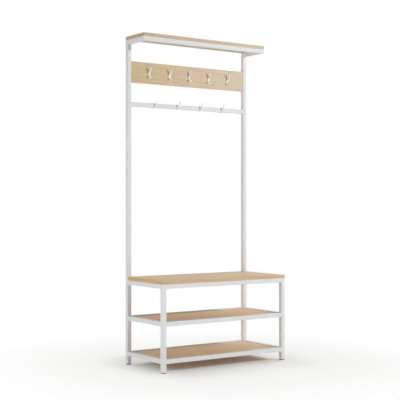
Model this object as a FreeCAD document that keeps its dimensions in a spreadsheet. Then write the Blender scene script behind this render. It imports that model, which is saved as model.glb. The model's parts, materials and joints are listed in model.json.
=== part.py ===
import FreeCAD, Part
import math
import os
import Sketcher
from FreeCAD import Placement, Rotation, Vector

# Hall tree: a white square-tube frame with a bench, two inset shelves, an upper shelf,
# a wooden panel with fixed coat hooks and a rail with hooks that slide along it.
# Millimetres, +Z up, +Y to the back, origin on the floor in the middle of the footprint.

doc = FreeCAD.newDocument("hall_tree")
sheet = doc.addObject("Spreadsheet::Sheet", "Sizes")

# Driving sizes: name, value, meaning
SIZES = (
    ("frame_width", "800", "outside width over the legs"),
    ("frame_depth", "372", "outside depth, front legs to the back of the posts"),
    ("frame_height", "1760", "floor to the top of the upper board"),
    ("bench_height", "471", "floor to the top of the bench board"),
    ("bottom_height", "71", "floor to the top of the bottom rails"),
    ("top_shelf_depth", "188", "upper shelf, front to back"),
    ("tube_size", "23", "side of the square tube"),
    ("tube_wall", "1.5", "wall of every tube"),
    ("tube_corner", "1.5", "outside corner radius of every tube"),
    ("cap_thickness", "2", "plates that close the arms' front ends"),
    ("board_thickness", "18", "bench board and upper board"),
    ("shelf_thickness", "16", "boards set inside the rails"),
    ("board_gap", "0.8", "gap round an inset board and round a post"),
    ("board_edge", "1", "edge rounding of every board"),
    ("panel_drop", "130", "top of the upper board down to the top of the hook panel"),
    ("panel_height", "113.5", "hook panel, top to bottom"),
    ("panel_thickness", "15", "hook panel, front to back"),
    ("panel_setback", "7", "back of the posts to the back of the hook panel"),
    ("hook_rail_drop", "105.5", "bottom of the hook panel down to the top of the hook rail"),
    ("hook_rail_depth", "18", "hook rail, front to back"),
    ("foot_height", "5", "part of a glide that shows below the tube"),
    ("foot_width", "20.4", "side of a glide's base"),
    ("foot_edge", "1.5", "edge rounding of a glide's base"),
    ("plug_length", "20", "stem of a glide inside the tube"),
    ("plug_clearance", "0.2", "gap between a glide's stem and the tube's wall"),
    ("stub_length", "30", "welded stub inside a rail's end"),
    ("stub_clearance", "0.2", "gap between a stub and the rail's wall"),
    ("tab_width", "30", "support tab along its tube"),
    ("tab_reach", "20", "support tab out from its tube"),
    ("tab_thickness", "3", "support tab"),
    ("tab_spread", "420", "distance between the two tabs of a long rail"),
    ("panel_tab_spread", "70", "distance between the two tabs of a post"),
    ("screw_clearance", "0.15", "gap between a screw and its hole, all round and at its tip"),
    ("lock_screw_diameter", "5", "lock screw's shank"),
    ("lock_screw_length", "9", "lock screw below its head"),
    ("lock_screw_head", "9", "diameter of a lock screw's head"),
    ("lock_screw_rise", "2.5", "height of a lock screw's head"),
    ("wood_screw_diameter", "4", "wood screw's shank"),
    ("wood_screw_length", "14", "wood screw below its head"),
    ("wood_screw_head", "8", "diameter of a wood screw's head"),
    ("wood_screw_rise", "2.2", "height of a wood screw's head"),
    ("hook_screw_diameter", "4", "shank of a screw that holds a panel hook from behind"),
    ("hook_screw_bite", "5", "length of that screw inside the hook"),
    ("hook_screw_head", "8", "diameter of its head"),
    ("hook_screw_rise", "2.2", "height of its head"),
    ("panel_hook_margin", "113", "post to the nearest panel hook"),
    ("panel_hook_lift", "3.75", "middle of the hook panel up to the upper prong's root"),
    ("plate_width", "12", "panel hook's plate"),
    ("plate_thickness", "3", "panel hook's plate"),
    ("plate_margin", "5.5", "plate above and below the prongs' roots"),
    ("plate_edge", "1", "rounding of the plate's front edge"),
    ("upper_run", "4", "upper prong: straight start"),
    ("upper_bend", "5", "upper prong: middle radius of the bend"),
    ("upper_angle", "66", "upper prong: rise of its straight end, degrees"),
    ("upper_length", "25", "upper prong: straight end"),
    ("upper_diameter", "6.5", "upper prong's rod"),
    ("upper_tip", "8.4", "ball on the upper prong"),
    ("lower_drop", "27", "lower prong's root below the upper prong's root"),
    ("lower_run", "6", "lower prong: straight start"),
    ("lower_bend", "6", "lower prong: middle radius of the bend"),
    ("lower_angle", "25", "lower prong: rise of its straight end, degrees"),
    ("lower_length", "6", "lower prong: straight end"),
    ("lower_diameter", "6.5", "lower prong's rod"),
    ("lower_tip", "11", "ball on the lower prong"),
    ("rail_hook_margin", "150.5", "post to the nearest rail hook"),
    ("clip_width", "9", "rail hook's clip along the rail"),
    ("clip_thickness", "2.4", "strap of the clip"),
    ("clip_clearance", "0.3", "gap between the clip and the rail"),
    ("clip_lip", "5", "lips that hold the clip behind the rail"),
    ("clip_edge", "0.8", "edge rounding of the clip"),
    ("rail_run", "3", "rail hook's prong: straight start"),
    ("rail_bend", "6", "rail hook's prong: middle radius of the bend"),
    ("rail_angle", "66", "rail hook's prong: rise of its straight end, degrees"),
    ("rail_length", "26.5", "rail hook's prong: straight end"),
    ("rail_diameter", "5.5", "rail hook's rod"),
    ("rail_tip", "7", "ball on the rail hook"),
)

# Levels and planes worked out from the driving sizes
LEVELS = (
    ("half_width", "=frame_width / 2", "frame's right side"),
    ("half_depth", "=frame_depth / 2", "frame's back"),
    ("inner_x", "=half_width - tube_size", "inner faces of the legs and posts"),
    ("inner_y", "=half_depth - tube_size", "inner faces of the front and rear rails"),
    ("tube_x", "=half_width - tube_size / 2", "middle of the side tubes"),
    ("tube_y", "=half_depth - tube_size / 2", "middle of the front and rear tubes"),
    ("bench_under", "=bench_height - board_thickness", "bench board's underside and bench rails' top"),
    ("middle_height", "=(bottom_height + bench_under) / 2", "top of the middle rails"),
    ("middle_under", "=middle_height - tube_size + tab_thickness", "middle board's underside"),
    ("bottom_under", "=bottom_height - tube_size + tab_thickness", "bottom board's underside"),
    ("top_under", "=frame_height - board_thickness", "upper board's underside and arms' top"),
    ("top_front", "=half_depth - top_shelf_depth", "front of the upper shelf"),
    ("top_inner", "=top_front + tube_size", "inner face of the upper front rail"),
    ("inset_width", "=2 * inner_x - 2 * board_gap", "inset boards and hook panel, side to side"),
    ("inset_depth", "=2 * inner_y - 2 * board_gap", "inset boards, front to back"),
    ("panel_back", "=half_depth - panel_setback", "back of the hook panel"),
    ("panel_front", "=panel_back - panel_thickness", "front of the hook panel"),
    ("panel_middle", "=frame_height - panel_drop - panel_height / 2", "middle height of the hook panel"),
    ("panel_hook_root", "=panel_middle + panel_hook_lift", "height of the upper prongs' roots"),
    ("hook_rail_top", "=frame_height - panel_drop - panel_height - hook_rail_drop", "top of the hook rail"),
    ("hook_rail_middle", "=hook_rail_top - tube_size / 2", "middle height of the hook rail"),
    ("panel_hook_row", "=2 * inner_x - 2 * panel_hook_margin", "first to last panel hook"),
    ("rail_hook_row", "=2 * inner_x - 2 * rail_hook_margin", "first to last rail hook"),
    ("lock_inset", "=stub_length / 2", "lock screw's distance from the rail's end"),
    ("stem_side", "=tube_size - 2 * tube_wall - 2 * plug_clearance", "side of a glide's stem"),
    ("hook_screw_length", "=panel_thickness + hook_screw_bite", "hook screw below its head"),
    ("pilot_depth", "=wood_screw_length - tab_thickness + screw_clearance", "hole for a wood screw"),
)


def fill_sheet():
    for row, (alias, text, meaning) in enumerate(SIZES + LEVELS, start=1):
        sheet.set(f"A{row}", meaning)
        sheet.set(f"B{row}", text)
        sheet.setAlias(f"B{row}", alias)
    doc.recompute()


def size(alias):
    return float(sheet.get(alias))


fill_sheet()
nodes = []

# Turns that lay a body's own Z axis along a row axis
UPRIGHT = Rotation()
ALONG_X = Rotation(Vector(0, 1, 0), 90)
ALONG_Y = Rotation(Vector(1, 0, 0), -90)
FACING_FRONT = Rotation(Vector(1, 0, 0), 90)

RIGHT = Vector(1, 0, 0)
BACK = Vector(0, 1, 0)
UP = Vector(0, 0, 1)
SIDES = (("left", -1), ("right", 1))
SAME_DIRECTION = 1e-6


# Document helpers

def new_body(name, x, y, z, turn=UPRIGHT):
    body = doc.addObject("PartDesign::Body", name)
    body.Label = name
    body.Placement = Placement(Vector(), turn)
    for axis, place in zip("xyz", (x, y, z)):
        body.setExpression(f"Placement.Base.{axis}", place)
    nodes.append(body)
    return body


def new_sketch(body, name, role, offset=None):
    sketch = body.newObject("Sketcher::SketchObject", f"{body.Label}_{name}")
    plane = next(item for item in body.Origin.OriginFeatures if item.Role == role)
    sketch.AttachmentSupport = (plane, [""])
    sketch.MapMode = "FlatFace"
    if offset:
        sketch.setExpression("AttachmentOffset.Base.z", offset)
    return sketch


def bind(sketch, constraint, expression):
    index = sketch.addConstraint(constraint)
    sketch.setExpression(f"Constraints[{index}]", expression)


def rectangle(sketch, left, right, low, high):
    first = sketch.GeometryCount
    corners = (Vector(-1, -1), Vector(1, -1), Vector(1, 1), Vector(-1, 1))
    for i in range(4):
        sketch.addGeometry(Part.LineSegment(corners[i], corners[(i + 1) % 4]))
    for i in range(4):
        sketch.addConstraint(Sketcher.Constraint("Coincident", first + i, 2, first + (i + 1) % 4, 1))
    for i in (0, 2):
        sketch.addConstraint(Sketcher.Constraint("Horizontal", first + i))
        sketch.addConstraint(Sketcher.Constraint("Vertical", first + i + 1))
    bind(sketch, Sketcher.Constraint("DistanceX", -1, 1, first, 1, -1.0), left)
    bind(sketch, Sketcher.Constraint("DistanceX", -1, 1, first, 2, 1.0), right)
    bind(sketch, Sketcher.Constraint("DistanceY", -1, 1, first, 1, -1.0), low)
    bind(sketch, Sketcher.Constraint("DistanceY", -1, 1, first + 2, 1, 1.0), high)


def centred_rectangle(sketch, width, height):
    rectangle(sketch, f"-({width}) / 2", f"({width}) / 2", f"-({height}) / 2", f"({height}) / 2")


def circle(sketch, x, y, diameter):
    index = sketch.addGeometry(Part.Circle(Vector(1, 1), Vector(0, 0, 1), 1))
    bind(sketch, Sketcher.Constraint("DistanceX", -1, 1, index, 3, 1.0), x)
    bind(sketch, Sketcher.Constraint("DistanceY", -1, 1, index, 3, 1.0), y)
    bind(sketch, Sketcher.Constraint("Diameter", index, 2.0), diameter)


def pad(body, sketch, length, both_ways=False):
    feature = body.newObject("PartDesign::Pad", f"{sketch.Name}_pad")
    feature.Profile = sketch
    if both_ways:
        feature.SideType = "Symmetric"
    feature.setExpression("Length", length)
    doc.recompute()


def pocket(body, sketch, length=None, reverse=False, both_ways=False):
    before = body.Shape.Volume
    feature = body.newObject("PartDesign::Pocket", f"{sketch.Name}_pocket")
    feature.Profile = sketch
    feature.Reversed = reverse
    if both_ways:
        feature.SideType = "Symmetric"
    if length:
        feature.setExpression("Length", length)
    else:
        feature.Type = "ThroughAll"
    doc.recompute()
    if body.Shape.Volume >= before:
        raise RuntimeError(f"{sketch.Name} cuts nothing")


def fillet(body, radius, wanted=None):
    base = body.Tip
    feature = body.newObject("PartDesign::Fillet", f"{body.Label}_fillet")
    if wanted:
        edges = [f"Edge{i}" for i, edge in enumerate(base.Shape.Edges, start=1) if wanted(edge)]
        feature.Base = (base, edges)
    else:
        feature.Base = (base, ["Face1"])
        feature.UseAllEdges = True
    feature.setExpression("Radius", radius)
    doc.recompute()


def runs_along(edge, direction):
    run = edge.Vertexes[-1].Point - edge.Vertexes[0].Point
    return run.Length > 0 and abs(abs(run.normalize().dot(direction)) - 1) < SAME_DIRECTION


def group(name, shape, places):
    feature = doc.addObject("Part::Feature", name)
    feature.Label = name
    copies = []
    for place in places:
        copy = shape.copy()
        copy.Placement = place
        copies.append(copy)
    feature.Shape = Part.makeCompound(copies)
    nodes.append(feature)


# Tubes and plates of the frame

def bar(name, x, y, z, turn, length, depth="Sizes.tube_size", hollow=True, lock_holes=False):
    body = new_body(name, x, y, z, turn)
    section = new_sketch(body, "section", "XY_Plane")
    centred_rectangle(section, "Sizes.tube_size", depth)
    if hollow:
        walls = "2 * Sizes.tube_wall"
        centred_rectangle(section, f"Sizes.tube_size - {walls}", f"{depth} - {walls}")
    pad(body, section, length)
    inside_the_wall = size("tube_size") / 2 - size("tube_wall") / 2

    def outer_corner(edge):
        return runs_along(edge, UP) and abs(edge.Vertexes[0].X) > inside_the_wall

    fillet(body, "Sizes.tube_corner", outer_corner)
    if lock_holes:
        holes = new_sketch(body, "lock_holes", "YZ_Plane")
        wide = "Sizes.lock_screw_diameter + 2 * Sizes.screw_clearance"
        circle(holes, "0", "Sizes.lock_inset", wide)
        circle(holes, "0", f"{length} - Sizes.lock_inset", wide)
        pocket(body, holes, reverse=True)


def make_uprights():
    for side, sign in SIDES:
        x = f"{sign} * Sizes.tube_x"
        leg_length = "Sizes.bench_under - Sizes.foot_height"
        post_length = "Sizes.top_under - Sizes.foot_height"
        bar(f"front_leg_{side}", x, "-Sizes.tube_y", "Sizes.foot_height", UPRIGHT, leg_length)
        bar(f"rear_post_{side}", x, "Sizes.tube_y", "Sizes.foot_height", UPRIGHT, post_length)


# The long rails: name, middle in Y, top, front-to-back size
LONG_RAILS = (
    ("bench_rail_front", "-Sizes.tube_y", "Sizes.bench_under", "tube_size"),
    ("bench_rail_rear", "Sizes.tube_y", "Sizes.bench_under", "tube_size"),
    ("middle_rail_front", "-Sizes.tube_y", "Sizes.middle_height", "tube_size"),
    ("middle_rail_rear", "Sizes.tube_y", "Sizes.middle_height", "tube_size"),
    ("bottom_rail_front", "-Sizes.tube_y", "Sizes.bottom_height", "tube_size"),
    ("bottom_rail_rear", "Sizes.tube_y", "Sizes.bottom_height", "tube_size"),
    ("top_rail_front", "Sizes.top_front + Sizes.tube_size / 2", "Sizes.top_under", "tube_size"),
    ("hook_rail", "Sizes.inner_y + Sizes.hook_rail_depth / 2", "Sizes.hook_rail_top", "hook_rail_depth"),
)


def make_long_rails():
    length = "2 * Sizes.inner_x"
    for name, y, top, depth in LONG_RAILS:
        z = f"{top} - Sizes.tube_size / 2"
        bar(name, "-Sizes.inner_x", y, z, ALONG_X, length, f"Sizes.{depth}", lock_holes=True)


def make_side_rails():
    for level, top in (("bench", "bench_under"), ("middle", "middle_height"), ("bottom", "bottom_height")):
        for side, sign in SIDES:
            x = f"{sign} * Sizes.tube_x"
            z = f"Sizes.{top} - Sizes.tube_size / 2"
            bar(f"{level}_rail_{side}", x, "-Sizes.inner_y", z, ALONG_Y, "2 * Sizes.inner_y")


def make_arms():
    z = "Sizes.top_under - Sizes.tube_size / 2"
    start = "Sizes.top_front + Sizes.cap_thickness"
    for side, sign in SIDES:
        x = f"{sign} * Sizes.tube_x"
        bar(f"top_arm_{side}", x, start, z, ALONG_Y, f"Sizes.inner_y - ({start})")
        bar(f"arm_cap_{side}", x, "Sizes.top_front", z, ALONG_Y, "Sizes.cap_thickness", hollow=False)


def make_glides():
    below_the_top = size("foot_height") - size("foot_edge") / 2
    for end, y in (("front", "-Sizes.tube_y"), ("rear", "Sizes.tube_y")):
        for side, sign in SIDES:
            body = new_body(f"foot_glide_{end}_{side}", f"{sign} * Sizes.tube_x", y, "0")
            base = new_sketch(body, "base", "XY_Plane")
            centred_rectangle(base, "Sizes.foot_width", "Sizes.foot_width")
            pad(body, base, "Sizes.foot_height")
            fillet(body, "Sizes.foot_edge", lambda edge: edge.CenterOfMass.z < below_the_top)
            stem = new_sketch(body, "stem", "XY_Plane", "Sizes.foot_height")
            centred_rectangle(stem, "Sizes.stem_side", "Sizes.stem_side")
            pad(body, stem, "Sizes.plug_length")


# Screws: own frame has the head's underside at z = 0 and the shank along +Z

def screw_shape(kind):
    rise = size(f"{kind}_rise")
    head = Part.makeCylinder(size(f"{kind}_head") / 2, rise, Vector(0, 0, -rise))
    shank = Part.makeCylinder(size(f"{kind}_diameter") / 2, size(f"{kind}_length"))
    return head.fuse(shank).removeSplitter()


def hole_radius(kind):
    return size(f"{kind}_diameter") / 2 + size("screw_clearance")


# Stubs inside the long rails' ends: own frame has the weld at x = 0

def stub_shape(rail_depth):
    play = 2 * size("tube_wall") + 2 * size("stub_clearance")
    depth = size(rail_depth) - play
    height = size("tube_size") - play
    block = Part.makeBox(size("stub_length"), depth, height, Vector(0, -depth / 2, -height / 2))
    thread_start = Vector(size("lock_inset"), 0, -height / 2)
    return block.cut(Part.makeCylinder(hole_radius("lock_screw"), height, thread_start))


def rail_end_places(rail):
    for sign in (-1, 1):
        seat = Vector(sign * size("inner_x"), rail.Placement.Base.y, rail.Placement.Base.z)
        yield Placement(seat, Rotation(UP, 90 + 90 * sign))


def make_rail_ends():
    ends = {"tube_size": [], "hook_rail_depth": []}
    for name, y, top, depth in LONG_RAILS:
        ends[depth].extend(rail_end_places(doc.getObject(name)))
    group("rail_stubs", stub_shape("tube_size"), ends["tube_size"])
    group("hook_rail_stubs", stub_shape("hook_rail_depth"), ends["hook_rail_depth"])
    below = Placement(Vector(size("lock_inset"), 0, -size("tube_size") / 2), Rotation())
    screws = [place.multiply(below) for places in ends.values() for place in places]
    group("rail_lock_screws", screw_shape("lock_screw"), screws)


# Support tabs: own frame has the tube's face at y = 0 and the board's face at z = 0

def tab_shape():
    width, reach, thickness = size("tab_width"), size("tab_reach"), size("tab_thickness")
    plate = Part.makeBox(width, reach, thickness, Vector(-width / 2, 0, -thickness))
    hole = Part.makeCylinder(hole_radius("wood_screw"), thickness, Vector(0, reach / 2, -thickness))
    return plate.cut(hole)


def tab_place(seat, inward, to_board):
    return Placement(seat, Rotation(inward.cross(to_board), inward, to_board, "XYZ"))


def shelf_tab_places(under):
    z = size(under)
    for x in (-size("tab_spread") / 2, size("tab_spread") / 2):
        yield tab_place(Vector(x, -size("inner_y"), z), BACK, UP)
        yield tab_place(Vector(x, size("inner_y"), z), -BACK, UP)
    yield tab_place(Vector(-size("inner_x"), 0, z), RIGHT, UP)
    yield tab_place(Vector(size("inner_x"), 0, z), -RIGHT, UP)


def top_tab_places():
    z = size("top_under")
    for x in (-size("tab_spread") / 2, size("tab_spread") / 2):
        yield tab_place(Vector(x, size("top_inner"), z), BACK, UP)
    arm_middle = (size("top_inner") + size("inner_y")) / 2
    yield tab_place(Vector(-size("inner_x"), arm_middle, z), RIGHT, UP)
    yield tab_place(Vector(size("inner_x"), arm_middle, z), -RIGHT, UP)


def panel_tab_places():
    y = size("panel_back")
    for rise in (-size("panel_tab_spread") / 2, size("panel_tab_spread") / 2):
        z = size("panel_middle") + rise
        yield tab_place(Vector(-size("inner_x"), y, z), RIGHT, -BACK)
        yield tab_place(Vector(size("inner_x"), y, z), -RIGHT, -BACK)


def make_tabs():
    tab_sets = {
        "bench": shelf_tab_places("bench_under"),
        "middle_shelf": shelf_tab_places("middle_under"),
        "bottom_shelf": shelf_tab_places("bottom_under"),
        "top_shelf": top_tab_places(),
        "hook_panel": panel_tab_places(),
    }
    below = Placement(Vector(0, size("tab_reach") / 2, -size("tab_thickness")), Rotation())
    for name, tab_places in tab_sets.items():
        places = list(tab_places)
        group(f"{name}_tabs", tab_shape(), places)
        group(f"{name}_screws", screw_shape("wood_screw"), [place.multiply(below) for place in places])


# Boards: own frame has the fastened face at z = 0, and its middle at the origin

PILOT = "Sizes.wood_screw_diameter + 2 * Sizes.screw_clearance"
TAB_X = "Sizes.tab_spread / 2"
SCREW_IN = "Sizes.tab_reach / 2"


def board(name, y, z, turn, width, depth, thickness, pilots, notched=False):
    body = new_body(name, "0", y, z, turn)
    outline = new_sketch(body, "outline", "XY_Plane")
    centred_rectangle(outline, width, depth)
    pad(body, outline, thickness)
    if notched:
        notches = new_sketch(body, "notches", "XY_Plane")
        side = "Sizes.inner_x - Sizes.board_gap"
        front = "Sizes.inner_y - Sizes.board_gap"
        past_side = "Sizes.half_width + Sizes.tube_size"
        past_back = "Sizes.half_depth + Sizes.tube_size"
        rectangle(notches, f"-({past_side})", f"-({side})", front, past_back)
        rectangle(notches, side, past_side, front, past_back)
        pocket(body, notches, reverse=True)
    fillet(body, "Sizes.board_edge")
    holes = new_sketch(body, "pilots", "XY_Plane")
    for hole_x, hole_y in pilots:
        circle(holes, hole_x, hole_y, PILOT)
    pocket(body, holes, "Sizes.pilot_depth", reverse=True)
    return body


def make_shelf_boards():
    pilots = [(f"{way} * (Sizes.inner_x - {SCREW_IN})", "0") for way in (-1, 1)]
    for way in (-1, 1):
        y = f"{way} * (Sizes.inner_y - {SCREW_IN})"
        pilots.extend([(f"-{TAB_X}", y), (TAB_X, y)])
    for level in ("middle", "bottom"):
        board(f"{level}_shelf_board", "0", f"Sizes.{level}_under", UPRIGHT,
              "Sizes.inset_width", "Sizes.inset_depth", "Sizes.shelf_thickness", pilots)
    board("bench_board", "0", "Sizes.bench_under", UPRIGHT,
          "Sizes.frame_width", "Sizes.frame_depth", "Sizes.board_thickness", pilots, notched=True)


def make_top_board():
    middle = "(Sizes.top_front + Sizes.half_depth) / 2"
    front_y = f"Sizes.top_inner + {SCREW_IN} - {middle}"
    arm_y = f"(Sizes.top_inner + Sizes.inner_y) / 2 - {middle}"
    pilots = [(f"{way} * (Sizes.inner_x - {SCREW_IN})", arm_y) for way in (-1, 1)]
    pilots.extend([(f"-{TAB_X}", front_y), (TAB_X, front_y)])
    board("top_shelf_board", middle, "Sizes.top_under", UPRIGHT,
          "Sizes.frame_width", "Sizes.top_shelf_depth", "Sizes.board_thickness", pilots)


# Rows of evenly spread hooks: places from the row's middle, as shares of its length

PANEL_HOOKS = 5
RAIL_HOOKS = 4


def row_shares(count):
    return [i / (count - 1) - 1 / 2 for i in range(count)]


PRONG_ROOTS = (("upper", "0"), ("lower", "-Sizes.lower_drop"))


def make_panel():
    pilots = [
        (f"{side} * (Sizes.inner_x - {SCREW_IN})", f"{way} * Sizes.panel_tab_spread / 2")
        for side in (-1, 1)
        for way in (-1, 1)
    ]
    body = board("hook_panel", "Sizes.panel_back", "Sizes.panel_middle", FACING_FRONT,
                 "Sizes.inset_width", "Sizes.panel_height", "Sizes.panel_thickness", pilots)
    holes = new_sketch(body, "hook_holes", "XY_Plane")
    wide = "Sizes.hook_screw_diameter + 2 * Sizes.screw_clearance"
    for share in row_shares(PANEL_HOOKS):
        for kind, height in PRONG_ROOTS:
            y = f"Sizes.panel_hook_lift + ({height})"
            circle(holes, f"{share} * Sizes.panel_hook_row", y, wide)
    pocket(body, holes, reverse=True)


# Hooks: own frame has the back of the plate, or of the clip's front strap, at y = 0

def prong(body, kind, height):
    run, bend, length = size(f"{kind}_run"), size(f"{kind}_bend"), size(f"{kind}_length")
    turn = math.radians(size(f"{kind}_angle"))
    bend_start = Vector(-run, 0)
    centre = bend_start + Vector(0, bend)
    bend_end = centre - bend * Vector(math.sin(turn), math.cos(turn))
    tip = bend_end + length * Vector(-math.cos(turn), math.sin(turn))
    path = new_sketch(body, f"{kind}_path", "YZ_Plane")
    path.addGeometry(Part.LineSegment(Vector(), bend_start))
    whole = Part.Circle(centre, Vector(0, 0, 1), bend)
    path.addGeometry(Part.ArcOfCircle(whole, -math.pi / 2 - turn, -math.pi / 2))
    path.addGeometry(Part.LineSegment(bend_end, tip))
    path.addConstraint(Sketcher.Constraint("PointOnObject", 0, 1, -2))
    path.addConstraint(Sketcher.Constraint("Horizontal", 0))
    path.addConstraint(Sketcher.Constraint("Tangent", 0, 2, 1, 2))
    path.addConstraint(Sketcher.Constraint("Tangent", 1, 1, 2, 1))
    bind(path, Sketcher.Constraint("DistanceY", -1, 1, 0, 1, 0.0), height)
    bind(path, Sketcher.Constraint("Distance", 0, run), f"Sizes.{kind}_run")
    bind(path, Sketcher.Constraint("Radius", 1, bend), f"Sizes.{kind}_bend")
    bind(path, Sketcher.Constraint("Distance", 2, length), f"Sizes.{kind}_length")
    bind(path, Sketcher.Constraint("Angle", 2, math.pi - turn), f"180 deg - Sizes.{kind}_angle * 1 deg")
    rod = new_sketch(body, f"{kind}_rod", "XZ_Plane")
    circle(rod, "0", height, f"Sizes.{kind}_diameter")
    doc.recompute()
    pipe = body.newObject("PartDesign::AdditivePipe", f"{body.Label}_{kind}_pipe")
    pipe.Profile = rod
    pipe.Spine = (path, ["Edge1", "Edge2", "Edge3"])
    ball = body.newObject("PartDesign::AdditiveSphere", f"{body.Label}_{kind}_ball")
    angle = f"(Sizes.{kind}_angle * 1 deg)"
    reach = f"Sizes.{kind}_run + Sizes.{kind}_bend * sin{angle} + Sizes.{kind}_length * cos{angle}"
    rise = f"Sizes.{kind}_bend * (1 - cos{angle}) + Sizes.{kind}_length * sin{angle}"
    ball.setExpression("Radius", f"Sizes.{kind}_tip / 2")
    ball.setExpression("Placement.Base.y", f"-({reach})")
    ball.setExpression("Placement.Base.z", f"{height} + {rise}")
    doc.recompute()


def make_panel_hooks():
    on_the_front = -size("plate_thickness") + size("plate_edge") / 2
    for number, share in enumerate(row_shares(PANEL_HOOKS), start=1):
        x = f"{share} * Sizes.panel_hook_row"
        body = new_body(f"panel_hook_{number}", x, "Sizes.panel_front", "Sizes.panel_hook_root")
        plate = new_sketch(body, "plate", "XZ_Plane")
        low = "-Sizes.lower_drop - Sizes.plate_margin"
        rectangle(plate, "-Sizes.plate_width / 2", "Sizes.plate_width / 2", low, "Sizes.plate_margin")
        pad(body, plate, "Sizes.plate_thickness")
        fillet(body, "Sizes.plate_width / 2.2", lambda edge: runs_along(edge, BACK))
        fillet(body, "Sizes.plate_edge", lambda edge: edge.CenterOfMass.y < on_the_front)
        for kind, height in PRONG_ROOTS:
            prong(body, kind, height)
        threads = new_sketch(body, "threads", "XZ_Plane")
        for kind, height in PRONG_ROOTS:
            circle(threads, "0", height, "Sizes.hook_screw_diameter + 2 * Sizes.screw_clearance")
        pocket(body, threads, "Sizes.hook_screw_bite + Sizes.screw_clearance", reverse=True)


def make_hook_screws():
    places = []
    for share in row_shares(PANEL_HOOKS):
        for drop in (0, size("lower_drop")):
            x = share * size("panel_hook_row")
            seat = Vector(x, size("panel_back"), size("panel_hook_root") - drop)
            places.append(Placement(seat, Rotation(UP, -BACK)))
    group("panel_hook_screws", screw_shape("hook_screw"), places)


def make_rail_hooks():
    strap = "Sizes.clip_thickness"
    half_height = "Sizes.tube_size / 2 + Sizes.clip_clearance"
    depth = "Sizes.hook_rail_depth + 2 * Sizes.clip_clearance"
    mouth = f"{half_height} - Sizes.clip_lip"
    for number, share in enumerate(row_shares(RAIL_HOOKS), start=1):
        x = f"{share} * Sizes.rail_hook_row"
        y = "Sizes.inner_y - Sizes.clip_clearance"
        body = new_body(f"rail_hook_{number}", x, y, "Sizes.hook_rail_middle")
        outside = new_sketch(body, "outside", "YZ_Plane")
        top = f"{half_height} + {strap}"
        rectangle(outside, f"-{strap}", f"{depth} + {strap}", f"-({top})", top)
        pad(body, outside, "Sizes.clip_width", both_ways=True)
        fillet(body, "Sizes.clip_edge")
        inside = new_sketch(body, "inside", "YZ_Plane")
        rectangle(inside, "0", depth, f"-({half_height})", half_height)
        pocket(body, inside, both_ways=True)
        slot = new_sketch(body, "mouth", "YZ_Plane")
        rectangle(slot, f"({depth}) / 2", f"{depth} + 2 * {strap}", f"-({mouth})", mouth)
        pocket(body, slot, both_ways=True)
        prong(body, "rail", "0")


def check_and_write():
    doc.recompute()
    for item in doc.Objects:
        if "Invalid" in item.State or "Error" in item.State:
            raise RuntimeError(f"{item.Label}: {item.State}")
    for node in nodes:
        if node.Shape.isNull() or not node.Shape.isValid():
            raise RuntimeError(f"{node.Label} has no valid shape")
    os.makedirs("parts", exist_ok=True)
    for node in nodes:
        node.Shape.exportStep(f"parts/{node.Label}.step")


make_uprights()
make_long_rails()
make_side_rails()
make_arms()
make_glides()
make_rail_ends()
make_tabs()
make_shelf_boards()
make_top_board()
make_panel()
make_panel_hooks()
make_hook_screws()
make_rail_hooks()
check_and_write()
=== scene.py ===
import json
import math
from collections import namedtuple

import bmesh
import bpy
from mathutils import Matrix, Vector


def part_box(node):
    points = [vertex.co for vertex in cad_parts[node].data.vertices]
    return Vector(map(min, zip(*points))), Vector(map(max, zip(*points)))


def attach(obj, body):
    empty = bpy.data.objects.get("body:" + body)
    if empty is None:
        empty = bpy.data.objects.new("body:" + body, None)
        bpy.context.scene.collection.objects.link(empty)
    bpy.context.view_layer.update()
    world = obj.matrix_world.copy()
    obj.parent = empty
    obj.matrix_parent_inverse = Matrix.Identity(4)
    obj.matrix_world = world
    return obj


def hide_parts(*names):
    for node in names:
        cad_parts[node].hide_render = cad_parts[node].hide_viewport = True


# Looks of the hall tree: oak boards, white powder-coated tube and hooks, grey glides, zinc screws.
# Metres, +Z up, +Y to the back, origin on the floor in the middle of the footprint.

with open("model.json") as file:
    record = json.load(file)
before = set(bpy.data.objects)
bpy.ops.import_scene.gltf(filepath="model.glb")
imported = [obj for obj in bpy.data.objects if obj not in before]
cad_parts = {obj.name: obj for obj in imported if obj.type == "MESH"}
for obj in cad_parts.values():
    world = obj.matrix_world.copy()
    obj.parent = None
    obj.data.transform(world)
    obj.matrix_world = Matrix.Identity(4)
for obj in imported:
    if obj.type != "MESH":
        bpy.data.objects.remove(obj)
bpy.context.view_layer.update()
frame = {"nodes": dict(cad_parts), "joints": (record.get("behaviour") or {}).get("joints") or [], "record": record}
nodes = frame["nodes"]

# Camera of the photograph, a 400 by 400 frame
FRAME_PIXELS = 400
FOCAL_PIXELS = 975.5
HORIZON_PIXEL = 205.71
SENSOR_MM = 36.0
CAMERA_PLACE = Vector((-3.059, -4.356, 0.853))
CAMERA_YAW = math.radians(34.71)

# Lamps: where each stands, where it points, how wide it is and its power
Lamp = namedtuple("Lamp", "name place target width watts")
LAMPS = (
    Lamp("key_light", (2.73, -3.33, 2.35), (0, 0, 1.2), 0.36, 107),
    Lamp("right_light", (3.4, 1.0, 2.25), (0.2, 0, 0.4), 1.6, 46),
    Lamp("left_light", (-4.0, 0.8, 0.9), (0, 0, 0.8), 2.4, 41),
    Lamp("low_fill", (-2.0, -1.6, 0.35), (0, 0, 0.3), 0.8, 13.5),
    Lamp("back_light", (-0.6, 3.0, 3.0), (0, 0, 0.9), 2.0, 24),
    Lamp("top_light", (0.1, 0.1, 2.8), (0.1, 0.1, 0), 0.9, 4.5),
)

# Strength of the white surroundings: as light on the part, and as they are seen
WORLD_LIGHT = 0.22
WORLD_SEEN = 1.0

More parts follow.
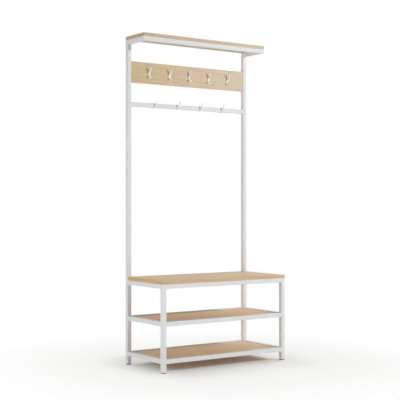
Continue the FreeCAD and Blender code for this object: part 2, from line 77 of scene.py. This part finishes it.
# Colours, linear
OAK_LIGHT = (0.665, 0.505, 0.325)
OAK_MIDDLE = (0.630, 0.468, 0.290)
OAK_DARK = (0.570, 0.412, 0.242)
OAK_PORE = (0.440, 0.305, 0.170)
COAT_WHITE = (0.78, 0.785, 0.785, 1)
COAT_SHADE = (0.76, 0.765, 0.765, 1)
# The hooks' coat is the frame's white coat painted lighter, as painted light on the prongs
HOOK_PAINTED_LIGHT_WHITE = (0.91, 0.91, 0.905, 1)
HOOK_PAINTED_LIGHT_DIM = (0.88, 0.88, 0.875, 1)
GLIDE_GREY = (0.16, 0.16, 0.16, 1)
GLIDE_DARK = (0.12, 0.12, 0.12, 1)
ZINC_LIGHT = (0.62, 0.62, 0.60, 1)
ZINC_DARK = (0.50, 0.50, 0.49, 1)
FLOOR_SEEN = (0.97, 0.97, 0.97, 1)
FLOOR_BOUNCE = (0.92, 0.92, 0.92, 1)
WHITE = (1, 1, 1, 1)

# Each board's tint of the oak, partly its own shade of oak and partly painted light: the shelves under the bench
# are brighter and warmer as painted bounce light, and the hook panel and top shelf are paler and cooler as painted
# sheen. Then a painted shade that grows towards each board's left end, away from the lamps on the right
BOARD_TINT_AND_PAINTED_LIGHT = {
    "bench_board": ((1.02, 1.0, 0.99), (1.0, 0.97, 0.88)),
    "top_shelf_board": ((0.93, 0.96, 1.09), (1.0, 0.965, 0.86)),
    "hook_panel": ((1.01, 1.075, 1.25), (0.97, 0.91, 0.74)),
    "middle_shelf_board": ((1.20, 1.19, 1.11), (0.81, 0.67, 0.54)),
    "bottom_shelf_board": ((1.11, 1.11, 1.06), (0.91, 0.80, 0.68)),
}

# Noise patterns: how fine, how many layers, how rough, and how stretched along each axis
Pattern = namedtuple("Pattern", "scale detail roughness stretch")
EVEN = (1, 1, 1)
NO_SHIFT = (0, 0, 0)
NOISE_LOW = 0.3
NOISE_HIGH = 0.7

# Oak: wavy bands, fine fibres and slow changes of tone make the figure, and open pores lie on it
BAND_SCALE = 34.0
BAND_WAVER = 9.0
BAND_WAVER_SCALE = 0.8
BAND_STRETCH = (0.05, 1, 1)
FIBRE = Pattern(380.0, 5.0, 0.62, (0.02, 1, 1))
OAK_TONE = Pattern(3.0, 2.0, 0.5, (0.25, 1, 1))
PORE = Pattern(950.0, 2.0, 0.5, (0.03, 1, 1))
BAND_SHARE = 0.20
FIBRE_SHARE = 0.50
TONE_SHARE = 0.30
FIGURE_DARK = 0.30
FIGURE_MIDDLE = 0.50
FIGURE_LIGHT = 0.70
PORE_START = 0.60
PORE_FULL = 0.70
PORE_SHARE = 0.40
PORE_DEPTH = 0.6
BOARD_SHIFT = Vector((0.37, 0.71, 0.53))

# Edging strip of the boards: its tint on the ends, its thickness, its joint's width and darkness
END_TINT = (0.95, 0.90, 0.76, 1)
EDGING = 0.0012
JOINT = 0.0004
JOINT_SHARE = 0.6
FACES_ALONG = 0.7

# Coat, plastic and zinc
COAT_TONE = Pattern(9.0, 3.0, 0.5, EVEN)
COAT_PEEL = Pattern(520.0, 2.0, 0.45, EVEN)
GLIDE_TONE = Pattern(60.0, 2.0, 0.5, EVEN)
GLIDE_GRAIN = Pattern(1600.0, 2.0, 0.5, EVEN)
ZINC_BLOOM = Pattern(420.0, 3.0, 0.5, EVEN)
MATT_GLOSS = 0.3

# Surfaces: roughness where the pattern is low and high, strength and depth of the relief
Surface = namedtuple("Surface", "smooth rough strength depth")
OAK_SURFACE = Surface(0.44, 0.54, 0.2, 0.0003)
COAT_SURFACE = Surface(0.50, 0.60, 0.10, 0.0004)
GLIDE_SURFACE = Surface(0.5, 0.65, 0.3, 0.0002)
ZINC_SURFACE = Surface(0.28, 0.45, 0.08, 0.0002)

# Floor: what it shows of its own besides the light on it, only to the camera and in mirrors. In a rectangle under
# the part that is painted warm bounce light in the shadow, round it a painted soft grey shadow, and far off white,
# so that cast shadows fade away there.
FLOOR_REACH = 60.0
SHADOW_MIDDLE = (0.05, 0.01, 0)
SHADOW_HALF = (0.29, 0.11, 0)
SHADOW_TAPER = (1.5, 1.2, 1)
FLOOR_GLOW = 0.09
FLOOR_PAINTED_BOUNCE = (1.0, 0.55, 0.45, 1)
FLOOR_PAINTED_SHADOW = (0.90, 0.90, 0.885, 1)
PAINTED_BOUNCE_REACH = 0.08
FADE_REACH = 0.54
PAINTED_SHADOW_START = 0.25
PAINTED_SHADOW_END = 1.6


# Node helpers

def node(tree, kind, inputs=None, **settings):
    made = tree.nodes.new(kind)
    for name, value in settings.items():
        setattr(made, name, value)
    for name, value in (inputs or {}).items():
        if isinstance(value, bpy.types.NodeSocket):
            tree.links.new(value, made.inputs[name])
        else:
            made.inputs[name].default_value = value
    return made


def maths(tree, operation, first, second=0.0):
    return node(tree, "ShaderNodeMath", {0: first, 1: second}, operation=operation).outputs[0]


def vector_maths(tree, operation, first, second=(0, 0, 0)):
    return node(tree, "ShaderNodeVectorMath", {0: first, 1: second}, operation=operation).outputs[0]


def vector_length(tree, vector):
    return node(tree, "ShaderNodeVectorMath", {0: vector}, operation="LENGTH").outputs["Value"]


def split(tree, vector):
    return node(tree, "ShaderNodeSeparateXYZ", {0: vector}).outputs


def mix_colour(tree, factor, first, second, blend="MIX"):
    inputs = {0: factor, 6: first, 7: second}
    return node(tree, "ShaderNodeMix", inputs, data_type="RGBA", blend_type=blend).outputs[2]


def mix_number(tree, factor, first, second):
    return node(tree, "ShaderNodeMix", {0: factor, 2: first, 3: second}, data_type="FLOAT").outputs[0]


def mix_vector(tree, factor, first, second):
    return node(tree, "ShaderNodeMix", {0: factor, 4: first, 5: second}, data_type="VECTOR").outputs[1]


def spread(tree, value, low, high, to_low=0.0, to_high=1.0):
    inputs = {"Value": value, "From Min": low, "From Max": high, "To Min": to_low, "To Max": to_high}
    return node(tree, "ShaderNodeMapRange", inputs, interpolation_type="SMOOTHSTEP").outputs[0]


def ramp(tree, factor, stops):
    made = node(tree, "ShaderNodeValToRGB", {"Fac": factor})
    elements = made.color_ramp.elements
    while len(elements) < len(stops):
        elements.new(1.0)
    for element, (position, colour) in zip(elements, stops):
        element.position = position
        element.color = colour
    return made.outputs["Color"]


def noise(tree, place, pattern, shift=NO_SHIFT):
    moved = node(tree, "ShaderNodeMapping", {"Vector": place, "Location": shift, "Scale": pattern.stretch})
    inputs = {
        "Vector": moved.outputs[0],
        "Scale": pattern.scale,
        "Detail": pattern.detail,
        "Roughness": pattern.roughness,
    }
    return node(tree, "ShaderNodeTexNoise", inputs).outputs[0]


def bump(tree, height, strength, distance):
    inputs = {"Height": height, "Strength": strength, "Distance": distance}
    return node(tree, "ShaderNodeBump", inputs).outputs[0]


def new_material(name):
    material = bpy.data.materials.new(name)
    material.use_nodes = True
    tree = material.node_tree
    shader = tree.nodes["Principled BSDF"]
    place = node(tree, "ShaderNodeTexCoord").outputs["Object"]
    return material, tree, shader, place


def connect(tree, shader, **sockets):
    for name, socket in sockets.items():
        tree.links.new(socket, shader.inputs[name.replace("_", " ")])


def lay_surface(tree, shader, surface, colour, pattern, height):
    rough = spread(tree, pattern, NOISE_LOW, NOISE_HIGH, surface.smooth, surface.rough)
    relief = bump(tree, height, surface.strength, surface.depth)
    connect(tree, shader, Base_Color=colour, Roughness=rough, Normal=relief)


# Materials

def edging_joint(tree, place, normal, box):
    # A fine line round each face, where the edging strip meets the board
    low, high = box
    from_middle = vector_maths(tree, "SUBTRACT", place, (low + high) / 2)
    size = vector_maths(tree, "ABSOLUTE", from_middle)
    inward = split(tree, vector_maths(tree, "SUBTRACT", (high - low) / 2, size))
    facing = split(tree, vector_maths(tree, "ABSOLUTE", normal))
    on_the_flat = maths(tree, "GREATER_THAN", facing["Z"], FACES_ALONG)
    across = mix_number(tree, on_the_flat, inward["Z"], inward["Y"])
    nearest = maths(tree, "MINIMUM", inward["X"], across)
    off_line = maths(tree, "ABSOLUTE", maths(tree, "SUBTRACT", nearest, EDGING))
    line = spread(tree, off_line, 0.0, JOINT, 1.0, 0.0)
    return maths(tree, "MULTIPLY", line, maths(tree, "LESS_THAN", facing["X"], FACES_ALONG))


def oak_figure(tree, along, fibre, shift):
    # Bands, fibres and slow changes of tone in one value
    inputs = {"Vector": along, "Location": shift, "Scale": BAND_STRETCH}
    stretched = node(tree, "ShaderNodeMapping", inputs).outputs[0]
    wave = {
        "Vector": stretched,
        "Scale": BAND_SCALE,
        "Distortion": BAND_WAVER,
        "Detail Scale": BAND_WAVER_SCALE,
    }
    bands = node(tree, "ShaderNodeTexWave", wave, bands_direction="DIAGONAL").outputs["Fac"]
    tone = noise(tree, along, OAK_TONE, shift)
    band_part = maths(tree, "MULTIPLY", bands, BAND_SHARE)
    fibre_part = maths(tree, "MULTIPLY", fibre, FIBRE_SHARE)
    tone_part = maths(tree, "MULTIPLY", tone, TONE_SHARE)
    return maths(tree, "ADD", maths(tree, "ADD", band_part, fibre_part), tone_part)


def oak(name, box, tint, left_painted_shade, number):
    material, tree, shader, place = new_material(name)
    shader.inputs["Specular IOR Level"].default_value = MATT_GLOSS
    light, middle, dark, pore = (
        (*(part * share for part, share in zip(colour, tint)), 1)
        for colour in (OAK_LIGHT, OAK_MIDDLE, OAK_DARK, OAK_PORE)
    )
    x, y, z = split(tree, place)
    # The edging strips on the board's ends have their grain across the board
    normal = node(tree, "ShaderNodeNewGeometry").outputs["Normal"]
    sideways = maths(tree, "ABSOLUTE", split(tree, normal)["X"])
    on_the_end = maths(tree, "GREATER_THAN", sideways, FACES_ALONG)
    turned = node(tree, "ShaderNodeCombineXYZ", {0: y, 1: x, 2: z}).outputs[0]
    along = mix_vector(tree, on_the_end, place, turned)
    shift = number * BOARD_SHIFT
    fibre = noise(tree, along, FIBRE, shift)
    figure = oak_figure(tree, along, fibre, shift)
    wood = ramp(tree, figure, ((FIGURE_DARK, dark), (FIGURE_MIDDLE, middle), (FIGURE_LIGHT, light)))
    pores = spread(tree, noise(tree, along, PORE, shift), PORE_START, PORE_FULL)
    open_grain = mix_colour(tree, maths(tree, "MULTIPLY", pores, PORE_SHARE), wood, pore)
    joint = maths(tree, "MULTIPLY", edging_joint(tree, place, normal, box), JOINT_SHARE)
    lined = mix_colour(tree, joint, open_grain, pore)
    ended = mix_colour(tree, on_the_end, lined, END_TINT, "MULTIPLY")
    # Painted shade: the colour grows darker and warmer towards the board's left end, away from the lamps on the
    # right
    painted_shade_to_the_left = spread(tree, x, box[0].x, box[1].x, 1.0, 0.0)
    colour = mix_colour(tree, painted_shade_to_the_left, ended, (*left_painted_shade, 1), "MULTIPLY")
    height = maths(tree, "SUBTRACT", fibre, maths(tree, "MULTIPLY", pores, PORE_DEPTH))
    lay_surface(tree, shader, OAK_SURFACE, colour, fibre, height)
    return material


def powder_coat(name, shade, white):
    material, tree, shader, place = new_material(name)
    shader.inputs["Specular IOR Level"].default_value = MATT_GLOSS
    colour = mix_colour(tree, noise(tree, place, COAT_TONE), shade, white)
    peel = noise(tree, place, COAT_PEEL)
    lay_surface(tree, shader, COAT_SURFACE, colour, peel, peel)
    return material


def moulded_plastic(name):
    material, tree, shader, place = new_material(name)
    colour = mix_colour(tree, noise(tree, place, GLIDE_TONE), GLIDE_DARK, GLIDE_GREY)
    grain = noise(tree, place, GLIDE_GRAIN)
    lay_surface(tree, shader, GLIDE_SURFACE, colour, grain, grain)
    return material


def zinc(name):
    material, tree, shader, place = new_material(name)
    shader.inputs["Metallic"].default_value = 1.0
    bloom = noise(tree, place, ZINC_BLOOM)
    colour = mix_colour(tree, bloom, ZINC_DARK, ZINC_LIGHT)
    lay_surface(tree, shader, ZINC_SURFACE, colour, bloom, bloom)
    return material


def dress(item, material):
    item.data.materials.clear()
    item.data.materials.append(material)


def dress_nodes(finishes):
    number = 0
    for part in frame["record"]["subparts"]:
        name = part["node"]
        slot = part["material_slot"]
        if slot == "board_wood":
            number += 1
            dress(nodes[name], oak(f"{name}_look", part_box(name), *BOARD_TINT_AND_PAINTED_LIGHT[name], number))
        else:
            dress(nodes[name], finishes[slot])


# Detail pieces

RIGHT = Vector((1, 0, 0))
BACK = Vector((0, 1, 0))
UP = Vector((0, 0, 1))
QUARTER = math.pi / 2
SHARP_EDGE = math.radians(40)
CORNER_STEPS = 6


def skin(mesh, rings, closed=False):
    # A skin over rings of points, capped at both ends or closed to a loop
    loops = [[mesh.verts.new(point) for point in ring] for ring in rings]
    pairs = list(zip(loops, loops[1:]))
    if closed:
        pairs.append((loops[-1], loops[0]))
    else:
        mesh.faces.new(loops[0])
        mesh.faces.new(loops[-1])
    for near, far in pairs:
        for i, corner in enumerate(near):
            j = (i + 1) % len(near)
            mesh.faces.new((corner, near[j], far[j], far[i]))


def new_piece(name, mesh, look, body, replaced=None):
    bmesh.ops.recalc_face_normals(mesh, faces=mesh.faces)
    data = bpy.data.meshes.new(name)
    mesh.to_mesh(data)
    mesh.free()
    data.shade_smooth()
    data.set_sharp_from_angle(angle=SHARP_EDGE)
    piece = bpy.data.objects.new(name, data)
    bpy.context.scene.collection.objects.link(piece)
    dress(piece, look)
    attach(piece, body)
    if replaced:
        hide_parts(replaced)


def turns(count):
    return [2 * math.pi * (i + 0.5) / count for i in range(count)]


def circle(middle, radius, across, along, sides):
    return [middle + radius * (math.cos(turn) * across + math.sin(turn) * along) for turn in turns(sides)]


def rounded_outline(width, height, corner, inset=0.0):
    # Points round a rectangle with rounded corners, as two distances from its middle
    points = []
    across = width / 2 - corner
    along = height / 2 - corner
    radius = corner - inset
    for quarter, (side, rise) in enumerate(((1, 1), (-1, 1), (-1, -1), (1, -1))):
        for i in range(CORNER_STEPS + 1):
            turn = QUARTER * (quarter + i / CORNER_STEPS)
            points.append((side * across + radius * math.cos(turn), rise * along + radius * math.sin(turn)))
    return points


# Prongs: a straight start, a bend upwards, a straight end and a ball, with a flared foot

Prong = namedtuple("Prong", "run bend angle length rod ball")
UPPER_PRONG = Prong(0.004, 0.005, math.radians(66), 0.025, 0.0040, 0.0041)
LOWER_PRONG = Prong(0.006, 0.006, math.radians(25), 0.006, 0.0034, 0.0062)
RAIL_PRONG = Prong(0.003, 0.006, math.radians(66), 0.0265, 0.00275, 0.0035)
PRONG_SIDES = 24
PRONG_STEPS = 40
PRONG_TAPER = 0.25
BALL_STEPS = 10
BALL_START = math.radians(-30)
BALL_TURN = math.radians(120)
BALL_BLEND = 8
FOOT_FLARE = 0.0016
FOOT_FADE = 0.0012


def prong_radius(prong, gone, whole, foot):
    beyond = max(gone - whole, 0.0) / prong.ball
    taper = 1 + PRONG_TAPER * (0.5 - min(gone / whole, 1.0))
    stem = prong.rod * taper * math.sqrt(1 - beyond**2)
    knob = math.sqrt(max(prong.ball**2 - (gone - whole) ** 2, 0.0))
    flare = FOOT_FLARE * math.exp(-max(gone - foot, 0.0) / FOOT_FADE)
    return (stem**BALL_BLEND + knob**BALL_BLEND) ** (1 / BALL_BLEND) + flare


def prong_rings(prong, root, foot):
    whole = prong.run + prong.bend * prong.angle + prong.length
    ball_start = whole + prong.ball * math.sin(BALL_START)
    steps = [ball_start * i / PRONG_STEPS for i in range(PRONG_STEPS)]
    for i in range(BALL_STEPS):
        steps.append(whole + prong.ball * math.sin(BALL_START + BALL_TURN * i / BALL_STEPS))
    for gone in steps:
        turned = min(max((gone - prong.run) / prong.bend, 0.0), prong.angle)
        straight = max(gone - prong.run - prong.bend * prong.angle, 0.0)
        forward = min(gone, prong.run) + prong.bend * math.sin(turned) + straight * math.cos(turned)
        rise = prong.bend * (1 - math.cos(turned)) + straight * math.sin(turned)
        middle = root - forward * BACK + rise * UP
        outward = math.sin(turned) * BACK + math.cos(turned) * UP
        yield circle(middle, prong_radius(prong, gone, whole, foot), RIGHT, outward, PRONG_SIDES)


# Panel hooks: a plate with rounded ends, an upper prong and a lower knob, cast in one

PLATE_WIDTH = 0.012
PLATE_THICKNESS = 0.0018
PLATE_CORNER = 0.0054
PLATE_EDGE = 0.0009
PLATE_MARGIN = 0.0055
LOWER_DROP = 0.027


def plate_rings(low, high):
    middle = Vector(((low.x + high.x) / 2, high.y, (low.z + high.z) / 2))
    levels = [(0.0, 0.0)]
    for i in range(CORNER_STEPS + 1):
        turn = QUARTER * i / CORNER_STEPS
        inset = PLATE_EDGE * (1 - math.cos(turn))
        depth = PLATE_THICKNESS - PLATE_EDGE * (1 - math.sin(turn))
        levels.append((inset, depth))
    for inset, depth in levels:
        outline = rounded_outline(PLATE_WIDTH, high.z - low.z, PLATE_CORNER, inset)
        yield [middle + x * RIGHT - depth * BACK + z * UP for x, z in outline]


def make_panel_hooks(look):
    for name in sorted(nodes):
        if name.startswith("panel_hook_") and name != "panel_hook_screws":
            low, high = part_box(name)
            plate_top = low.z + 2 * PLATE_MARGIN + LOWER_DROP
            upper_root = Vector(((low.x + high.x) / 2, high.y, plate_top - PLATE_MARGIN))
            lower_root = upper_root - LOWER_DROP * UP
            mesh = bmesh.new()
            skin(mesh, plate_rings(low, Vector((high.x, high.y, plate_top))))
            skin(mesh, prong_rings(UPPER_PRONG, upper_root, PLATE_THICKNESS))
            skin(mesh, prong_rings(LOWER_PRONG, lower_root, PLATE_THICKNESS))
            new_piece(f"{name}_casting", mesh, look, "frame", name)


# Rail hooks: a strap bent round the hook rail, with a prong on its front

STRAP_WIDTH = 0.009
STRAP_THICKNESS = 0.0024
STRAP_EDGE = 0.0008
STRAP_BEND = 0.0017
STRAP_PLAY = 0.0003
STRAP_LIP = 0.005


def strap_path(rail_low, rail_high):
    # Corners of the strap's middle line, from the lower lip round the front to the upper lip
    off = STRAP_PLAY + STRAP_THICKNESS / 2
    lip = STRAP_LIP + STRAP_THICKNESS / 2
    front = rail_low.y - off
    back = rail_high.y + off
    low = rail_low.z - off
    high = rail_high.z + off
    return (back, low + lip), (back, low), (front, low), (front, high), (back, high), (back, high - lip)


def strap_rings(x, rail_low, rail_high):
    corners = [Vector((x, y, z)) for y, z in strap_path(rail_low, rail_high)]
    stations = [(corners[0], -UP)]
    for before, corner, after in zip(corners, corners[1:], corners[2:]):
        come = (corner - before).normalized()
        go = (after - corner).normalized()
        for i in range(CORNER_STEPS + 1):
            turn = QUARTER * i / CORNER_STEPS
            place = corner + STRAP_BEND * (go * (1 - math.cos(turn)) - come * (1 - math.sin(turn)))
            stations.append((place, come * math.cos(turn) + go * math.sin(turn)))
    stations.append((corners[-1], -UP))
    section = rounded_outline(STRAP_WIDTH, STRAP_THICKNESS, STRAP_EDGE)
    for place, direction in stations:
        outward = direction.cross(RIGHT)
        yield [place + across * RIGHT + rise * outward for across, rise in section]


def make_rail_hooks(look):
    rail_low, rail_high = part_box("hook_rail")
    root_y = rail_low.y - STRAP_PLAY
    root_z = (rail_low.z + rail_high.z) / 2
    for joint in frame["joints"]:
        name = joint["child"]
        low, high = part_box(name)
        x = (low.x + high.x) / 2
        mesh = bmesh.new()
        skin(mesh, strap_rings(x, rail_low, rail_high))
        skin(mesh, prong_rings(RAIL_PRONG, Vector((x, root_y, root_z)), STRAP_THICKNESS))
        new_piece(f"{name}_clip", mesh, look, name, name)


# Screws: domed heads with a hexagon socket or a cross recess

Screw = namedtuple("Screw", "rise shank tip tip_share recess")
SCREW_SIDES = 36
HEAD_STEPS = 6
HEAD_FLAT = 0.6
HEAD_RIM = 0.3
RECESS_TAPER = 0.9
SAME_POINT = 1e-6


def hexagon(apothem):
    sixth = math.pi / 3
    return [apothem / math.cos(turn % sixth - sixth / 2) for turn in turns(SCREW_SIDES)]


def cross(reach, half_width):
    return [min(reach, half_width / min(abs(math.cos(a)), abs(math.sin(a)))) for a in turns(SCREW_SIDES)]


LOCK_SCREW = Screw(0.0025, 0.0025, 0.0008, 0.75, hexagon(0.0015))
WOOD_SCREW = Screw(0.0022, 0.0020, 0.0040, 0.15, cross(0.0022, 0.0006))


def screw_rings(screw, seat, axis, head, length):
    whole = [1.0] * SCREW_SIDES
    outlines = [
        (screw.shank * screw.tip_share, whole, length),
        (screw.shank, whole, length - screw.tip),
        (screw.shank, whole, 0.0),
        (head, whole, 0.0),
    ]
    flat = HEAD_FLAT * head
    for i in range(HEAD_STEPS + 1):
        turn = QUARTER * i / HEAD_STEPS
        height = HEAD_RIM + (1 - HEAD_RIM) * math.sin(turn)
        outlines.append((flat + (head - flat) * math.cos(turn), whole, -height * screw.rise))
    outlines.append((1.0, screw.recess, -screw.rise))
    outlines.append((RECESS_TAPER, screw.recess, -HEAD_RIM * screw.rise))
    other = axis.cross(RIGHT)
    for radius, edge, along in outlines:
        middle = seat + along * axis
        yield [
            middle + radius * share * (math.cos(turn) * RIGHT + math.sin(turn) * other)
            for turn, share in zip(turns(SCREW_SIDES), edge)
        ]


def separate_boxes(name):
    # Lowest and highest corner of each separate solid in a node
    mesh = bmesh.new()
    mesh.from_mesh(nodes[name].data)
    bmesh.ops.remove_doubles(mesh, verts=mesh.verts, dist=SAME_POINT)
    seen = set()
    for first in mesh.verts:
        if first in seen:
            continue
        seen.add(first)
        found = [first]
        for vert in found:
            for edge in vert.link_edges:
                other = edge.other_vert(vert)
                if other not in seen:
                    seen.add(other)
                    found.append(other)
        places = [vert.co for vert in found]
        low = Vector([min(place[i] for place in places) for i in range(3)])
        high = Vector([max(place[i] for place in places) for i in range(3)])
        yield low, high
    mesh.free()


def make_screws(look):
    for name in sorted(nodes):
        if not name.endswith("_screws"):
            continue
        screw = LOCK_SCREW if name == "rail_lock_screws" else WOOD_SCREW
        from_behind = name in ("hook_panel_screws", "panel_hook_screws")
        mesh = bmesh.new()
        for low, high in separate_boxes(name):
            middle = (low + high) / 2
            head = (high.x - low.x) / 2
            if from_behind:
                seat = Vector((middle.x, high.y - screw.rise, middle.z))
                skin(mesh, screw_rings(screw, seat, -BACK, head, seat.y - low.y))
            else:
                seat = Vector((middle.x, middle.y, low.z + screw.rise))
                skin(mesh, screw_rings(screw, seat, UP, head, high.z - seat.z))
        new_piece(f"{name}_detailed", mesh, look, "frame", name)


# Weld beads round the ends of the welded rails and arms

BEAD_RADIUS = 0.0011
BEAD_RIPPLE = 0.15
BEAD_RIPPLES = 30
BEAD_SIDES = 8
BEAD_STEPS = 120
FLUSH_INSET = 0.0009
CORNER_INSET = 0.0002
SQUARENESS = 16


def bead_rings(low, high, y):
    middle = Vector(((low.x + high.x) / 2, y, (low.z + high.z) / 2))
    half_x = (high.x - low.x) / 2 - FLUSH_INSET
    half_z = (high.z - low.z) / 2 - CORNER_INSET
    for turn in turns(BEAD_STEPS):
        side = math.cos(turn)
        rise = math.sin(turn)
        reach = (abs(side) ** SQUARENESS + abs(rise) ** SQUARENESS) ** (-1 / SQUARENESS)
        place = middle + reach * (half_x * side * RIGHT + half_z * rise * UP)
        outward = side * RIGHT + rise * UP
        radius = BEAD_RADIUS * (1 + BEAD_RIPPLE * math.sin(BEAD_RIPPLES * turn))
        yield circle(place, radius, outward, BACK, BEAD_SIDES)


def make_welds(look):
    mesh = bmesh.new()
    for side in ("left", "right"):
        for level in ("bench", "middle", "bottom"):
            low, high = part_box(f"{level}_rail_{side}")
            skin(mesh, bead_rings(low, high, low.y), closed=True)
            skin(mesh, bead_rings(low, high, high.y), closed=True)
        low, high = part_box(f"top_arm_{side}")
        skin(mesh, bead_rings(low, high, high.y), closed=True)
    new_piece("weld_beads", mesh, look, "frame")


# Floor, lamps, surroundings and camera

def seen_directly(tree):
    # One where the camera looks, also in a mirror or through glass, and zero for light that only spreads
    rays = node(tree, "ShaderNodeLightPath").outputs
    mirrored = maths(tree, "MAXIMUM", rays["Is Glossy Ray"], rays["Is Transmission Ray"])
    return maths(tree, "MAXIMUM", rays["Is Camera Ray"], mirrored)


def make_floor():
    mesh = bpy.data.meshes.new("floor")
    corners = [(FLOOR_REACH * x, FLOOR_REACH * y, 0) for x, y in ((-1, -1), (1, -1), (1, 1), (-1, 1))]
    mesh.from_pydata(corners, [], [(0, 1, 2, 3)])
    floor = bpy.data.objects.new("floor", mesh)
    bpy.context.scene.collection.objects.link(floor)
    material, tree, shader, place = new_material("floor_look")
    shader.inputs["Roughness"].default_value = 1.0
    shader.inputs["Specular IOR Level"].default_value = 0.0
    seen = seen_directly(tree)
    connect(tree, shader, Base_Color=mix_colour(tree, seen, FLOOR_BOUNCE, FLOOR_SEEN))
    # Distance from the rectangle under the part, counted more to the sides than to front and back
    size = vector_maths(tree, "ABSOLUTE", vector_maths(tree, "SUBTRACT", place, SHADOW_MIDDLE))
    outside = vector_maths(tree, "MAXIMUM", vector_maths(tree, "SUBTRACT", size, SHADOW_HALF))
    away = vector_length(tree, vector_maths(tree, "MULTIPLY", outside, SHADOW_TAPER))
    own = maths(tree, "MULTIPLY", spread(tree, away, 0.0, FADE_REACH, FLOOR_GLOW, 1.0), seen)
    # Painted warm bounce light in the middle of the shadow, then a painted soft grey shadow that fades to white
    # far off
    near = mix_colour(tree, spread(tree, away, 0.0, PAINTED_BOUNCE_REACH), FLOOR_PAINTED_BOUNCE, FLOOR_PAINTED_SHADOW)
    glow_with_painted_shadow = mix_colour(tree, spread(tree, away, PAINTED_SHADOW_START, PAINTED_SHADOW_END), near, WHITE)
    backdrop = node(tree, "ShaderNodeEmission", {"Color": glow_with_painted_shadow, "Strength": 1.0})
    both = node(tree, "ShaderNodeMixShader", {0: own, 1: shader.outputs[0], 2: backdrop.outputs[0]})
    tree.links.new(both.outputs[0], tree.nodes["Material Output"].inputs["Surface"])
    dress(floor, material)


def make_lights():
    for lamp in LAMPS:
        data = bpy.data.lights.new(lamp.name, "AREA")
        data.shape = "DISK"
        data.size = lamp.width
        data.energy = lamp.watts
        light = bpy.data.objects.new(lamp.name, data)
        light.visible_camera = False
        light.location = lamp.place
        direction = Vector(lamp.target) - Vector(lamp.place)
        light.rotation_euler = direction.to_track_quat("-Z", "Y").to_euler()
        bpy.context.scene.collection.objects.link(light)


def make_world():
    world = bpy.data.worlds.new("studio")
    bpy.context.scene.world = world
    world.use_nodes = True
    tree = world.node_tree
    strength = spread(tree, seen_directly(tree), 0.0, 1.0, WORLD_LIGHT, WORLD_SEEN)
    background = tree.nodes["Background"]
    background.inputs["Color"].default_value = WHITE
    tree.links.new(strength, background.inputs["Strength"])


def make_camera():
    data = bpy.data.cameras.new("camera")
    data.sensor_width = SENSOR_MM
    data.lens = SENSOR_MM * FOCAL_PIXELS / FRAME_PIXELS
    data.shift_y = (HORIZON_PIXEL - FRAME_PIXELS / 2) / FRAME_PIXELS
    camera = bpy.data.objects.new("camera", data)
    camera.location = CAMERA_PLACE
    camera.rotation_euler = (math.pi / 2, 0, -CAMERA_YAW)
    bpy.context.scene.collection.objects.link(camera)
    bpy.context.scene.camera = camera


looks = {
    "white_powder_coat": powder_coat("white_powder_coat_look", COAT_SHADE, COAT_WHITE),
    "glide_plastic": moulded_plastic("glide_plastic_look"),
    "zinc_steel": zinc("zinc_steel_look"),
}
dress_nodes(looks)
# The hooks get a lighter copy of the white coat: painted light on the prongs
hook_coat_painted_light = powder_coat("hook_coat_painted_light_look", HOOK_PAINTED_LIGHT_DIM, HOOK_PAINTED_LIGHT_WHITE)
make_panel_hooks(hook_coat_painted_light)
make_rail_hooks(hook_coat_painted_light)
make_screws(looks["zinc_steel"])
make_welds(looks["white_powder_coat"])
make_floor()
make_lights()
make_world()
make_camera()
bpy.context.scene.view_settings.view_transform = "Standard"
